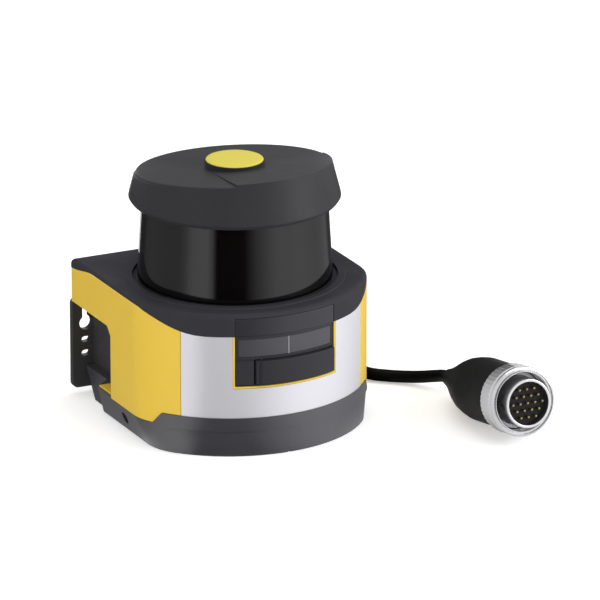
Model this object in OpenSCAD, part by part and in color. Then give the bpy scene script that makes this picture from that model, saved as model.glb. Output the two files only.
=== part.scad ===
// Safety laser scanner: a round scanning head on a squarish housing, on a
// connection unit with a mounting plate and a short cable with a round plug.
// Front is -Y, up is +Z, the head axis is the Z axis, the underside is z = 0.

/* [Body outline] */
// Width over the two side walls
body_w = 140; // [132:1:150]
// Distance from the head axis to the foremost point
body_front = 69; // [66:0.5:72]
// Distance from the head axis to the rear wall
body_rear = 65; // [63:0.5:70]
// How far the bowed front's radius is over half the width
bow_over = 6; // [5:0.5:14]
// Radius of the two front corners
corner_r = 30; // [24:1:32]
// Wall of the moulded housings
wall = 3; // [2.5:0.5:4]

/* [Connection unit] */
// Height of the seam between foot and housing along the sides
foot_h = 15.5; // [14:0.5:18]
// How far the foot rises above that seam at the front, under the front panel
lip_rise = 6.5; // [4.5:0.5:8.5]
// How far the raised front of the foot stands proud
lip_proud = 0.5; // [0.2:0.1:1]
// How far the foot's sides lean in at the floor
foot_draft = 5.5; // [2:0.5:7]
// How far the foot's rear leans in at the floor
foot_rear_draft = 11; // [4:0.5:12]
// Height of the shelf in the side notches above the foot's side seam
shelf_up = 1.9; // [0.8:0.1:4]
// Width of the notch beside the connection box
notch_w = 14; // [12:0.5:15]
// Place of the box's front wall, behind the head axis
box_front = 13.3; // [12:0.1:18]
// How far the box's top lies below the cover's side seam
box_down = 23.8; // [21.8:0.1:26]
// Radius of the locking screw's hole in each side
lock_r = 3.4; // [3:0.1:4]
// Height of the locking screws
lock_z = 8; // [7.5:0.5:9]

/* [Mounting plate] */
// Thickness of the plate
plate_t = 4; // [3:0.5:5]
// How far the plate's ears end inside the housing's sides
plate_in = 1.5; // [0.5:0.1:3]
// Height of the plate's lower edge
plate_z = 4; // [3:0.5:6]
// Gap between the housing's rear wall and the plate
plate_gap = 1.8; // [1:0.1:2.5]
// Distance of the fixing holes from the ears' outer edges
ear_in = 8.1; // [7.2:0.1:9]
// How far the keyhole's entry lies below the box's top
key_down = 14.9; // [13.8:0.1:16]
// Radius of the keyhole's entry
key_r = 4; // [3.5:0.1:4.2]
// Width of the keyhole's neck
key_w = 4.4; // [4:0.1:5]
// Length of the keyhole's neck
key_len = 8.4; // [7:0.1:9]
// How far the upper fixing slot lies below the box's top
slot_hi_down = 24.5; // [23:0.1:26]
// How far the lower fixing slot lies below the box's top
slot_lo_down = 32.5; // [31:0.1:35]
// Width of the fixing slots
slot_w = 5.6; // [5:0.1:6.4]
// Height of the fixing slots
slot_h = 3.4; // [3:0.1:4]

/* [Housing and cover] */
// How far the cover's seam dips at the front
dip_front = 11.3; // [9:0.1:12.5]
// How far the cover's seam dips at the rear
dip_rear = 3.8; // [2:0.1:8]
// Height of the cover's top above its side seam
cover_rise = 1.7; // [1.2:0.1:3]
// Size of the rounding along the cover's edge
deck_round = 3; // [2:0.2:4]
// Angle from straight ahead to the front panel's edge
panel_angle = 50.2; // [46:0.2:54]
// Thickness of the front panel
panel_t = 1.5; // [1:0.1:2]

/* [Display] */
// Half width of the display field
field_half = 30; // [28:0.5:32]
// Height of the display field
field_h = 28.8; // [28:0.2:30.4]
// Width of the housing's rim round the display field
rim_w = 1.1; // [0.8:0.1:1.6]
// Height of the display glass
glass_h = 10; // [8:0.2:11]
// Distance of the display glass below the cover's front seam
glass_down = 2; // [1.2:0.1:3]
// Thickness of the display glass
glass_t = 1.6; // [1.2:0.1:2]

/* [Port cover] */
// Place of the port cover's hinge pin left of the middle
hinge_x = 15.2; // [14.2:0.2:16.6]
// Radius of the hinge pin
hinge_r = 0.8; // [0.6:0.1:0.9]
// Depth of the hinge pin behind the body's bowed front
pin_in = 2.2; // [2:0.1:2.6]
// Height of the port cover's lower edge above the display field's
cover_up = 1.2; // [1.1:0.1:2]
// Height of the port cover
cover_h = 13.6; // [11:0.2:14.8]
// How far the port cover stands proud
cover_proud = 1.8; // [1:0.1:2.4]
// Thickness of the port cover
cover_t = 3; // [2.4:0.1:3.4]

/* [Head] */
// Height of the whole scanner over the yellow disc
height = 149.2; // [144:0.2:154]
// How far the window's foot stays inside the body's rear wall
head_in = 10.9; // [10.4:0.1:12]
// How far the window narrows up to the cap
win_taper = 2.6; // [1:0.1:4]
// Share of the whole height that the window over the cover takes, in percent
win_share = 30.16; // [27:0.02:33]
// Wall of the window
win_wall = 3; // [2.5:0.1:4]
// How far the cap's lip stands out over the window's upper edge
lip_over = 7.1; // [6.6:0.1:9]
// Height of the cap's lip above the window's upper edge
lip_up = 1.3; // [1:0.1:4]
// How far the cap narrows from its lip to its shoulder
cap_taper = 4.7; // [3:0.1:5.2]
// Height of the cap's shoulder above the lip
cap_h = 18.8; // [15:0.2:20]
// Height of the yellow disc's middle above the cap's shoulder
disc_over = 2.1; // [1.4:0.1:3]
// Radius of the yellow disc
disc_r = 15.9; // [14:0.1:18]
// Angle by which the cap's top falls to the rear
cap_tilt = 5.9; // [4:0.1:7]
// How far the cap's tilted top lies under the disc's middle on the axis
cap_fall = 4.6; // [3.6:0.1:5]
// Height of the crease in the cap's top at the front rim
band_h = 1.2; // [0.8:0.1:1.6]

/* [Scanning unit] */
// Radius of the motor shaft
shaft_r = 3; // [2.5:0.1:4]
// Running clearance of the shaft in its bearings
shaft_gap = 0.03; // [0.02:0.01:0.05]
// Outer radius of the bearings
bearing_r = 8; // [7:0.5:9]
// Height of one bearing
bearing_h = 4; // [3:0.5:5]
// Radius of the motor's housing
motor_r = 20; // [18:0.5:22]
// Height of the mirror carrier's foot above the cover's top
mirror_up = 4; // [3:0.5:6]
// Room for the receiving optics between mirror and head plate
lens_room = 7; // [6.6:0.1:9]
// Radius of the receiver lens
lens_r = 19.5; // [17:0.5:21]
// Radius of the encoder disc
encoder_r = 32; // [28:0.5:36]
// Thickness of the circuit boards
board_t = 1.6; // [1.2:0.1:2]

/* [Cable and plug] */
// Diameter of the cable
cable_d = 7; // [6:0.1:8]
// Radius of the cable gland's collar
gland_r = 7.5; // [6.5:0.1:8]
// How far the coupling nut stands out over the sleeve
nut_over = 1.5; // [1:0.1:2.5]
// Length of the coupling nut
nut_len = 21; // [18:0.5:24]
// Radius of the plug's sleeve
sleeve_r = 18; // [17:0.1:18.4]
// Length from the plug's face to the cable's entry
plug_len = 96; // [92:0.5:100]
// Angle by which the plug's nose points up
plug_tilt = 9; // [8:0.5:10]
// Radius of the plug's metal barrel
barrel_r = 13.6; // [13:0.1:14.4]
// Wall of the plug's metal barrel
barrel_w = 1.5; // [1.2:0.1:1.8]
// Radius of one contact pin
pin_r = 0.75; // [0.6:0.05:0.9]
// Spacing of the contact pins
pin_pitch = 4.5; // [4:0.1:4.6]

/* [Hidden] */
$fn = 96;

eps = 0.01;
fit = 0.3;
far = 2 * body_w;
front_r = body_w / 2 + bow_over;
lip_h = foot_h + lip_rise;
box_half = body_w / 2 - notch_w;
disc_top = height;
shoulder_z = disc_top - disc_over;
lip_z = shoulder_z - cap_h;
win_top = lip_z - lip_up;
win_h = height * win_share / 100;
deck_z = win_top - win_h;
seam_side = deck_z - cover_rise;
seam_front = seam_side - dip_front;
seam_rear = seam_side - dip_rear;
box_top = seam_side - box_down;
plate_front = body_rear + plate_gap;
plate_half = body_w / 2 - plate_in;
ear_x = plate_half - ear_in;
key_z = box_top - key_down;
key_top = key_z + key_len;
slot_hi = box_top - slot_hi_down;
slot_lo = box_top - slot_lo_down;
field_z = seam_front - field_h;
glass_hi = seam_front - glass_down;
glass_lo = glass_hi - glass_h;
cover_lo = field_z + cover_up;
cover_hi = cover_lo + cover_h;
win_r_lo = body_rear - head_in;
win_r_hi = win_r_lo - win_taper;
lip_r = win_r_hi + lip_over;
cap_r = lip_r - cap_taper;
cap_mid = disc_top - cap_fall;
mirror_r = (win_h - mirror_up - lens_room) / 2;
nut_r = sleeve_r + nut_over;
slope_run = 5;
lip_back = -32;
notch_round = 4.5;

// cable route, along the floor round the rear right corner to the plug
plug_tip = [119.7, -122.3, 26.3];
plug_end = plug_tip + plug_len * [0, cos(plug_tilt), -sin(plug_tilt)];
gland_x = -18;
gland_z = 9;
gland_in = 5;
gland_y = body_rear - gland_in;
gland_len = 8;
route = [[gland_x, gland_y + gland_len, gland_z], [-18, 78, 8.6], [-16, 90, 7], [-9, 102, 5],
    [3, 112, 4], [18, 119, 3.8], [34, 122, 3.8], [50, 120, 3.8], [64, 113, 3.8],
    [76, 102, 3.8], [84, 88, 3.8], [87, 72, 3.8], [88, 54, 3.8], [88, 36, 3.8],
    [89, 24, 3.8], [92.5, 15.5, 3.8], [98.5, 9.5, 3.8], [105.5, 4, 3.9], [112.5, -4, 5.2],
    [117, -13, 7.8], [119.3, -20.5, 10], plug_end];

// -------- outlines --------

// plan outline of the body, set in by inset, with the sides by side more
module plan(inset = 0, side = 0, rear = 0) {
    half = body_w / 2 - inset - side;
    fr = front_r - inset;
    cr = corner_r - inset;
    cy = front_r - body_front;
    dx = half - cr;
    dy = sqrt(pow(fr - cr, 2) - dx * dx);
    reach = 4 * fr / (fr - cr);
    intersection() {
        translate([0, cy]) circle(fr, $fn = 2 * $fn);
        polygon([[0, cy], [-reach * dx, cy - reach * dy], [0, -far], [reach * dx, cy - reach * dy]]);
    }
    for (s = [-1, 1]) translate([s * dx, cy - dy]) circle(cr);
    translate([-half, cy - dy]) square([2 * half, body_rear - inset - rear - cy + dy]);
}

// slab of the plan outline between two heights
module slab(z0, z1, inset = 0, side = 0, rear = 0)
    translate([0, 0, z0]) linear_extrude(z1 - z0) plan(inset, side, rear);

// shell that follows the bowed front, between two insets and two heights
module bow(z0, z1, in0, in1) translate([0, 0, z0]) linear_extrude(z1 - z0)
    difference() { plan(in0); plan(in1); }

// box between two corners
module block(a, b) translate(a) cube(b - a);

// prism along X of an outline drawn in Y and Z
module side_prism(points, half) rotate([90, 0, 90]) translate([0, 0, -half])
    linear_extrude(2 * half) polygon(points);

// height of the seam between housing and cover
function ease(t) = let (u = min(1, max(0, t))) u * u * (3 - 2 * u);
seam_a = -55;
seam_b = -18;
seam_c = 37;
function seam_z(y) = y < seam_c
    ? seam_front + (seam_side - seam_front) * ease((y - seam_a) / (seam_b - seam_a))
    : seam_side + (seam_rear - seam_side) * ease((y - seam_c) / (body_rear - seam_c));
seam_steps = 10;
seam_line = concat([[-far, seam_front]],
    [for (i = [0:seam_steps]) let (y = seam_a + (seam_b - seam_a) * i / seam_steps) [y, seam_z(y)]],
    [for (i = [0:seam_steps]) let (y = seam_c + (body_rear - seam_c) * i / seam_steps) [y, seam_z(y)]],
    [[far, seam_rear]]);

// everything under the seam, and everything over it
module under_seam() side_prism(concat(seam_line, [[far, -far], [-far, -far]]), far);
module over_seam() side_prism(concat(seam_line, [[far, far], [-far, far]]), far);

// -------- connection unit --------

// points round the body's plan, for a half width and a rear wall
front_steps = 24;
corner_steps = 8;
function round_plan(half, rear) = let (cy = front_r - body_front, dx = half - corner_r,
        dy = sqrt(pow(front_r - corner_r, 2) - dx * dx), th = atan2(dx, dy)) concat(
    [for (i = [0:front_steps]) let (a = th * (2 * i / front_steps - 1))
        [front_r * sin(a), cy - front_r * cos(a)]],
    [for (i = [1:corner_steps]) let (a = th + (90 - th) * i / corner_steps)
        [dx + corner_r * sin(a), cy - dy - corner_r * cos(a)]],
    [[half, rear], [-half, rear]],
    [for (i = [0:corner_steps - 1]) let (a = -90 + (90 - th) * i / corner_steps)
        [-dx + corner_r * sin(a), cy - dy - corner_r * cos(a)]]);
// foot below the side seam, with its sides and rear leaning in at the floor
module foot_lower() {
    low = round_plan(body_w / 2 - foot_draft, body_rear - foot_rear_draft);
    high = round_plan(body_w / 2, body_rear);
    n = len(low);
    polyhedron(concat([for (p = low) [p[0], p[1], 0]], [for (p = high) [p[0], p[1], foot_h]]),
        concat([[for (i = [0:n - 1]) i]], [[for (i = [n - 1:-1:0]) n + i]],
        [for (i = [0:n - 1]) [(i + 1) % n, i, n + i]],
        [for (i = [0:n - 1]) [(i + 1) % n, n + i, n + (i + 1) % n]]));
}

pocket_half = 38;
pocket_front = -36;
pocket_depth = 9;
socket_half = 15.6;
socket_high = 15.2;
socket_low = 3.4;
socket_mid = (foot_h + box_top) / 2 - socket_low;
// room of the foot's raised front, with its sloped step
module lip_room() side_prism([[-far, 0], [lip_back, 0], [lip_back, foot_h],
    [lip_back - slope_run, lip_h], [-far, lip_h]], far);
module foot_blank() {
    foot_lower();
    intersection() {
        slab(foot_h - 1, lip_h, -lip_proud);
        lip_room();
    }
    block([-body_w / 2, box_front, foot_h], [body_w / 2, body_rear, foot_h + shelf_up]);
    side_prism([[box_front, foot_h - 1], [box_front, box_top - notch_round],
        [box_front + notch_round, box_top], [plate_front, box_top], [plate_front, foot_h - 1]], box_half);
}
corner_cut = 9;
module connection_unit() color("#4d4c50") difference() {
    foot_blank();
    // rear corners cut back behind the shelves
    for (s = [-1, 1]) scale([s, 1, 1]) translate([0, 0, -1]) linear_extrude(box_top + 2)
        polygon([[body_w / 2 + 1, 29], [body_w / 2 - corner_cut, 38], [body_w / 2 - corner_cut, 80],
            [body_w / 2 + 1, 80]]);
    // pocket under the scanner unit and hollow of the box
    block([-pocket_half, pocket_front, foot_h - pocket_depth], [pocket_half, box_front + wall, lip_h + 1]);
    block([-box_half + wall, box_front + wall, foot_h + 2],
        [box_half - wall, plate_front - wall, box_top - wall]);
    block([-pocket_half, box_front, foot_h - pocket_depth],
        [pocket_half, body_rear - foot_rear_draft - wall, foot_h + 3]);
    // window for the connector in the box's front wall
    connector_block(socket_half + 0.4, box_front - 1, box_front + wall + 1, 0.4);
    // front step behind the lip, where the housing stands
    intersection() {
        slab(foot_h, lip_h + 1, panel_t + fit);
        block([-far, -far, 0], [far, box_front, far]);
    }
    // groove of the gasket
    gasket_ring();
    // threads of the plate's screws
    for (s = [-1, 1], z = screw_z) translate([s * screw_x, plate_front + 1, z]) rotate([90, 0, 0])
        cylinder(h = wall + 6, r = screw_r + 0.05);
    // locking screw holes
    for (s = [-1, 1]) translate([s * body_w / 2, 0, lock_z]) rotate([0, -s * 90, 0])
        translate([0, 0, -1]) cylinder(h = lock_depth + 1, r = lock_r);
    // seat of the cable gland
    translate([gland_x, gland_y - 4, gland_z]) rotate([-90, 0, 0]) cylinder(h = 20, r = gland_r - 2);
    translate([gland_x, gland_y, gland_z]) rotate([-90, 0, 0]) cylinder(h = 20, r = gland_r + fit);
    // mould-parting notch in the middle of the front
    translate([0, -body_front - lip_proud, 0]) cylinder(h = 3, r = 1.2, center = true);
}
lock_depth = 16;
module locking_screws() color("#2b2b2d") for (s = [-1, 1])
    translate([s * (body_w / 2 - lock_depth), 0, lock_z]) rotate([0, s * 90, 0]) difference() {
        cylinder(h = lock_depth - foot_draft / 2 - 2, r = lock_r - 0.2);
        translate([0, 0, lock_depth - foot_draft / 2 - 5]) cylinder(h = 10, r = 1.9, $fn = 6);
    }

module fixing_slot(z) for (s = [-1, 1]) translate([s * ear_x, 0, z])
    for (e = [-1, 1]) translate([e * (slot_w - slot_h) / 2, plate_front - 1, 0]) rotate([-90, 0, 0])
        cylinder(h = plate_t + 2, r = slot_h / 2);
screw_x = 46;
screw_in = 8.5;
screw_z = [foot_h + screw_in, box_top - screw_in];
screw_r = 2;
module mounting_plate() color("#2e2e31") difference() {
    union() {
        hull() for (s = [-1, 1], z = [plate_z + 3, box_top - 3])
            translate([s * (plate_half - 3), plate_front, z]) rotate([-90, 0, 0])
                cylinder(h = plate_t, r = 3, $fn = 32);
    }
    // cut-out round the cable gland
    block([gland_x - 3 * gland_r, plate_front - 1, -1], [-gland_x + 3 * gland_r, plate_front + plate_t + 1,
        gland_z + 1.6 * gland_r]);
    for (s = [-1, 1]) translate([s * ear_x, plate_front - 1, 0]) {
        translate([0, 0, key_z]) rotate([-90, 0, 0]) cylinder(h = plate_t + 2, r = key_r);
        translate([-key_w / 2, 0, key_z]) cube([key_w, plate_t + 2, key_top - key_z]);
        translate([0, 0, key_top]) rotate([-90, 0, 0]) cylinder(h = plate_t + 2, r = key_w / 2);
        for (z = [slot_lo, slot_hi]) translate([-(slot_w - slot_h) / 2, 0, z - slot_h / 2])
            cube([slot_w - slot_h, plate_t + 2, slot_h]);
    }
    fixing_slot(slot_lo);
    fixing_slot(slot_hi);
    // countersunk heads sit flush in the plate's back
    for (s = [-1, 1], z = screw_z) translate([s * screw_x, plate_front + plate_t, z]) rotate([90, 0, 0]) {
        translate([0, 0, -1]) cylinder(h = plate_t + 2, r = screw_r + 0.1);
        translate([0, 0, -eps]) cylinder(h = 2.2, r1 = 2 * screw_r + 0.2, r2 = screw_r + 0.1);
    }
}
module plate_screws() color("#b4b6ba") for (s = [-1, 1], z = screw_z)
    translate([s * screw_x, plate_front + plate_t, z]) rotate([90, 0, 0]) difference() {
        union() {
            cylinder(h = 2, r1 = 2 * screw_r, r2 = screw_r);
            cylinder(h = plate_t + wall + 2, r = screw_r);
        }
        translate([0, 0, -eps]) cylinder(h = 1.3, r = 1.4, $fn = 6);
    }
module cable_gland() color("#232325") translate([gland_x, gland_y, gland_z]) rotate([-90, 0, 0]) difference() {
    union() {
        cylinder(h = gland_len - 3, r = gland_r);
        translate([0, 0, gland_len - 3]) cylinder(h = 3, r1 = gland_r - 0.6, r2 = cable_d / 2 + 1.2);
        translate([0, 0, -3.6]) cylinder(h = 4, r = gland_r - 2.3);
    }
    translate([0, 0, gland_len - 2]) cylinder(h = 3, r = cable_d / 2 + 0.2);
}
gasket_t = 0.8;
module gasket_ring() difference() {
    translate([0, 0, foot_h - gasket_t]) linear_extrude(gasket_t)
        difference() { plan(panel_t + 0.6); plan(panel_t + wall - 0.6); }
    block([-far, box_front - 2, 0], [far, far, far]);
}
module housing_gasket() color("#1c1c1d") gasket_ring();
post_h = 3;
post_r = 2.4;
module terminal_board() color("#1f5b36") {
    low = foot_h - pocket_depth;
    block([-pocket_half + 6, pocket_front + 6, low + post_h],
        [pocket_half - 6, box_front - 4, low + post_h + board_t]);
    for (x = [-pocket_half + 11, pocket_half - 11], y = [pocket_front + 10, box_front - 8])
        translate([x, y, low]) cylinder(h = post_h, r = post_r, $fn = 32);
}
// wall of the connector's shell and depth of the room for its plug
socket_w = 2.6;
plug_room = 6;
// block about the connector's middle, grown by extra in height
module connector_block(half, y0, y1, extra) block([-half, y0, socket_mid - socket_high / 2 - extra],
    [half, y1, socket_mid + socket_high / 2 + extra]);
module base_connector() color("#2a2a2c") difference() {
    connector_block(socket_half, box_front, box_front + wall + plug_room, 0);
    connector_block(socket_half - socket_w, box_front - 1, box_front + plug_room, -socket_w);
}
module unit_connector() color("#35353a") {
    connector_block(socket_half - socket_w - 2 * fit, box_front - wall - plug_room, box_front + plug_room - 1.6,
        -socket_w - 2 * fit);
    connector_block(socket_half, box_front - wall - 4, box_front - wall, 0);
}

// -------- scanner unit --------

// wedge of the bowed front that the panel covers
module front_wedge(extra = 0) let (a = panel_angle + extra, r = far) translate([0, 0, -1]) linear_extrude(far)
    polygon([[0, 0], [-r * sin(a), -r * cos(a)], [0, -2 * r], [r * sin(a), -r * cos(a)]]);
module scanner_housing() color("#e6c63c") difference() {
    intersection() {
        slab(foot_h, seam_side + 1);
        under_seam();
    }
    // foot's raised front, with the housing standing behind it
    difference() {
        lip_room();
        slab(0, far, panel_t + fit);
    }
    // notches and room for the connection box
    side_prism([[box_front, 0], [box_front, box_top - notch_round], [box_front + notch_round, box_top],
        [far, box_top], [far, 0]], far);
    // hollow in front of the box and over it
    intersection() {
        slab(0, far, wall + panel_t);
        union() {
            block([-far, -far, 0], [far, box_front - wall, far]);
            block([-far, -far, box_top + wall], [far, far, far]);
        }
    }
    // seat of the front panel, leaving a rim round the display field
    difference() {
        intersection() {
            bow(lip_h, far, -1, panel_t);
            front_wedge();
        }
        block([-field_half - rim_w, -far, field_z - rim_w], [field_half + rim_w, 0, far]);
    }
    // display field
    block([-field_half, -far, field_z], [field_half, -40, far]);
    // connector's way through the lower rear wall
    connector_block(socket_half - socket_w, box_front - wall - 1, box_front + 1, -socket_w);
}
module front_panel() color("#d2d2d8") difference() {
    intersection() {
        bow(lip_h, far, 0, panel_t);
        front_wedge(-0.15);
        under_seam();
    }
    block([-field_half - rim_w - 0.1, -far, field_z - rim_w - 0.1], [field_half + rim_w + 0.1, 0, far]);
}
cover_hole = win_r_lo - 8.1;
groove_in = win_r_lo + 0.2;
groove_out = groove_in + 2.6;
module rounded_deck() {
    steps = 3;
    slab(seam_front - 1, deck_z - deck_round);
    for (i = [0:steps - 1]) hull() for (k = [i, i + 1]) let (a = 90 * k / steps)
        slab(deck_z - deck_round * (1 - sin(a)) - eps, deck_z - deck_round * (1 - sin(a)),
            deck_round * (1 - cos(a)), $fn = 64);
}
module top_cover() color("#454549") difference() {
    union() {
        intersection() {
            rounded_deck();
            over_seam();
        }
        // ridge ring round the window
        translate([0, 0, deck_z - 1]) cylinder(h = 1.6, r1 = groove_out + 5.6, r2 = groove_out + 3.8);
    }
    // hollow under the top
    slab(0, deck_z - wall, wall + panel_t);
    // way for the scanning unit, seat and groove of the window
    cylinder(h = far, r = cover_hole);
    translate([0, 0, deck_z - 1.2]) cylinder(h = 20, r = groove_out);
    // place of the indicator window
    block([-field_half, -far, 0], [field_half, -body_front + 16, deck_z - deck_round + 0.4]);
}
module indicator_window() color("#2f2f33") intersection() {
    bow(seam_front + 0.2, deck_z - deck_round + 0.2, 0, panel_t + wall);
    block([-field_half + 0.3, -far, 0], [field_half - 0.3, 0, far]);
}
bezel_in = 0.9;
bezel_back = 11;
port_x = 6;
port_z = (cover_lo + cover_hi) / 2;
hinge_y = front_r - body_front - sqrt(pow(front_r - pin_in, 2) - hinge_x * hinge_x);
knuckle_r = cover_proud + pin_in;
cheek_x = hinge_x + knuckle_r + 1;
flap_left = hinge_x * (front_r + cover_proud) / (front_r - pin_in);
module hinge_axis(z0, h, r) translate([-hinge_x, hinge_y, z0]) cylinder(h = h, r = r, $fn = 32);
module display_bezel() color("#333337") difference() {
    intersection() {
        union() {
            bow(field_z, seam_front, bezel_in, bezel_back);
            // fixed cheek beside the port cover
            intersection() {
                bow(cover_lo, cover_hi, 0, bezel_back);
                block([-field_half, -far, 0], [-cheek_x, 0, far]);
            }
        }
        block([-field_half + 0.1, -far, 0], [field_half - 0.1, 0, far]);
    }
    // bed of the port cover
    intersection() {
        bow(cover_lo - 0.4, cover_hi + 0.4, -5, cover_t - cover_proud + 0.4);
        block([-cheek_x, -far, 0], [field_half + 1, 0, far]);
    }
    hinge_axis(cover_lo - 0.4, cover_hi - cover_lo + 0.8, knuckle_r + 0.4);
    hinge_axis(cover_lo - 1.1, cover_hi - cover_lo + 2.2, hinge_r);
    // bed of the display glass
    intersection() {
        bow(glass_lo - 0.1, glass_hi + 0.1, -5, bezel_in + glass_t);
        block([-field_half + 2, -far, 0], [field_half - 2, 0, far]);
    }
    // pocket of the service socket
    block([port_x - 9, -far, port_z - 5], [port_x + 9, -40, port_z + 5]);
}
divider_half = 0.45;
pane_in = divider_half + 0.1;
module display_half(s) intersection() {
    bow(glass_lo, glass_hi, bezel_in + 0.1, bezel_in + glass_t);
    block([s > 0 ? pane_in : -field_half + 2.1, -far, 0], [s > 0 ? field_half - 2.1 : -pane_in, 0, far]);
}
module display_glass_left() color("#17181b") display_half(-1);
module display_glass_right() color("#17181b") display_half(1);
module display_divider() color("#8d9096") intersection() {
    bow(glass_lo, glass_hi, bezel_in, bezel_in + glass_t);
    block([-divider_half, -far, 0], [divider_half, 0, far]);
}
board_back = 7.5;
module display_board() color("#1f5b36") {
    board_y = -body_front + bezel_back + board_back;
    block([-field_half + 3, board_y, field_z + 2], [field_half - 3, board_y + board_t, seam_front - 3]);
    for (x = [-field_half + 6, field_half - 6], z = [field_z + 5, seam_front - 6]) intersection() {
        translate([x, 0, z]) rotate([90, 0, 0]) cylinder(h = -board_y + 10, r = 2, $fn = 32);
        difference() {
            slab(0, far, bezel_back);
            block([-far, board_y, 0], [far, far, far]);
        }
    }
}
module port_cover() color("#2c2c30") difference() {
    union() {
        intersection() {
            bow(cover_lo, cover_hi, -cover_proud, cover_t - cover_proud);
            block([-flap_left, -far, 0], [field_half - 0.6, 0, far]);
        }
        hinge_axis(cover_lo, cover_hi - cover_lo, knuckle_r);
    }
    hinge_axis(0, far, hinge_r + 0.05);
    // finger dimple at the free end
    translate([field_half - 9, -body_front - 3.2, cover_lo + 2]) cylinder(h = cover_hi - cover_lo - 4, r = 4);
}
module port_hinge_pin() color("#a9abaf") hinge_axis(cover_lo - 1, cover_hi - cover_lo + 2, hinge_r);
module usb_socket() color("#b9bbbf") translate([port_x, -body_front + bezel_back, port_z]) {
    difference() {
        block([-4.2, -3.4, -1.8], [4.2, 5, 1.8]);
        block([-3.7, -4, -1.3], [3.7, 2, 1.3]);
    }
    block([-2.6, -2.6, -0.4], [2.6, 2.5, 0.4]);
    block([-8.6, 0.6, -4.6], [8.6, 2.4, -1.7]);
}

// -------- scanning unit inside --------

carrier_down = 8;
carrier_t = 3;
carrier_z = deck_z - wall - carrier_down;
mirror_z = deck_z + mirror_up;
mirror_h = 2 * mirror_r;
shaft_lo = box_top + wall + 1.5;
motor_h = carrier_z - shaft_lo;
rotor_in = 4;
rotor_up = 1;
rotor_gap = 2.4;
rotor_h = motor_h - bearing_h - rotor_gap;
carrier_side = 22;
carrier_front = -30;
carrier_rear = 25;
carrier_x = body_w / 2 - carrier_side;
carrier_y = [carrier_front, body_rear - carrier_rear];
carrier_in = 10.5;
hub_h = 6;
shaft_in = 6;
module optics_carrier() color("#6e7076") difference() {
    union() {
        slab(carrier_z, carrier_z + carrier_t, wall + panel_t + carrier_in);
        cylinder(h = carrier_z + hub_h, r = bearing_r + carrier_t);
    }
    cylinder(h = carrier_z, r = motor_r + 8);
    cylinder(h = far, r = shaft_r + 1);
    translate([0, 0, carrier_z + hub_h - bearing_h]) cylinder(h = far, r = bearing_r);
    for (s = [-1, 1], y = carrier_y) translate([s * carrier_x, y, carrier_z - 1])
        cylinder(h = 5, r = 2, $fn = 32);
}
module carrier_screws() color("#b4b6ba") for (s = [-1, 1], y = carrier_y)
    translate([s * carrier_x, y, 0]) {
        translate([0, 0, carrier_z]) cylinder(h = deck_z - wall - carrier_z, r = 1.9, $fn = 32);
        translate([0, 0, carrier_z - 2]) cylinder(h = 2, r = 3.4, $fn = 32);
    }
module main_board() color("#1f5b36") {
    low = box_top + wall;
    half = box_half - 12;
    block([-half, motor_r + 3, low + post_h], [half, body_rear - 8, low + post_h + board_t]);
    for (x = [-half + 6, half - 6], y = [motor_r + 6, body_rear - 12])
        translate([x, y, low]) cylinder(h = post_h, r = post_r, $fn = 32);
}
module motor_housing() color("#8b8d92") difference() {
    translate([0, 0, shaft_lo]) cylinder(h = carrier_z - shaft_lo, r = motor_r);
    translate([0, 0, shaft_lo + bearing_h - 1]) cylinder(h = carrier_z, r = motor_r - 2.5);
    translate([0, 0, shaft_lo - 1]) cylinder(h = bearing_h + 2, r = bearing_r);
}
module bearing(z) translate([0, 0, z]) difference() {
    cylinder(h = bearing_h, r = bearing_r);
    translate([0, 0, -1]) cylinder(h = bearing_h + 2, r = shaft_r + shaft_gap);
}
module lower_bearing() color("#c4c6ca") bearing(shaft_lo);
module upper_bearing() color("#c4c6ca") bearing(carrier_z + hub_h - bearing_h);
module motor_shaft() color("#d0d2d6") translate([0, 0, shaft_lo - 1])
    cylinder(h = mirror_z - shaft_lo + 1 + shaft_in, r = shaft_r);
module motor_rotor() color("#3a3a3e") difference() {
    translate([0, 0, shaft_lo + bearing_h + rotor_up]) cylinder(h = rotor_h, r = motor_r - rotor_in);
    cylinder(h = far, r = shaft_r);
}
encoder_z = carrier_z + hub_h + 2.5;
module encoder_disc() color("#9aa0a6") difference() {
    translate([0, 0, encoder_z]) union() {
        cylinder(h = 1, r = encoder_r);
        cylinder(h = mirror_z - encoder_z, r = shaft_r + 3);
    }
    cylinder(h = far, r = shaft_r);
    for (a = [0:20:340]) rotate(a) translate([encoder_r - 3, 0, encoder_z - 1])
        cylinder(h = 3, r = 0.9, $fn = 24);
}
module encoder_reader() color("#26262a") difference() {
    block([encoder_r - 5, -5, carrier_z + 3], [encoder_r + 4, 5, encoder_z + 4]);
    block([encoder_r - 6, -6, encoder_z - 1.2], [encoder_r + 1.2, 6, encoder_z + 2.2]);
}
module mirror_cut(extra) translate([0, 0, mirror_z + mirror_h / 2 + 3]) rotate([45, 0, 0])
    translate([-far / 2, -far / 2, extra]) cube(far);
module mirror_carrier() color("#55575c") difference() {
    translate([0, 0, mirror_z]) cylinder(h = mirror_h, r = mirror_r);
    mirror_cut(0);
    translate([0, 0, mirror_z - 1]) cylinder(h = shaft_in + 1, r = shaft_r);
}
module mirror_glass() color("#c9d6dc") intersection() {
    translate([0, 0, mirror_z]) cylinder(h = mirror_h, r = mirror_r - 1);
    difference() { mirror_cut(0); mirror_cut(1.6); }
}
module window_seal() color("#151516") translate([0, 0, deck_z - 1.2]) difference() {
    cylinder(h = 1.2, r = win_r_lo - 0.3);
    translate([0, 0, -1]) cylinder(h = 4, r = win_r_lo - 2.4);
}
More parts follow.
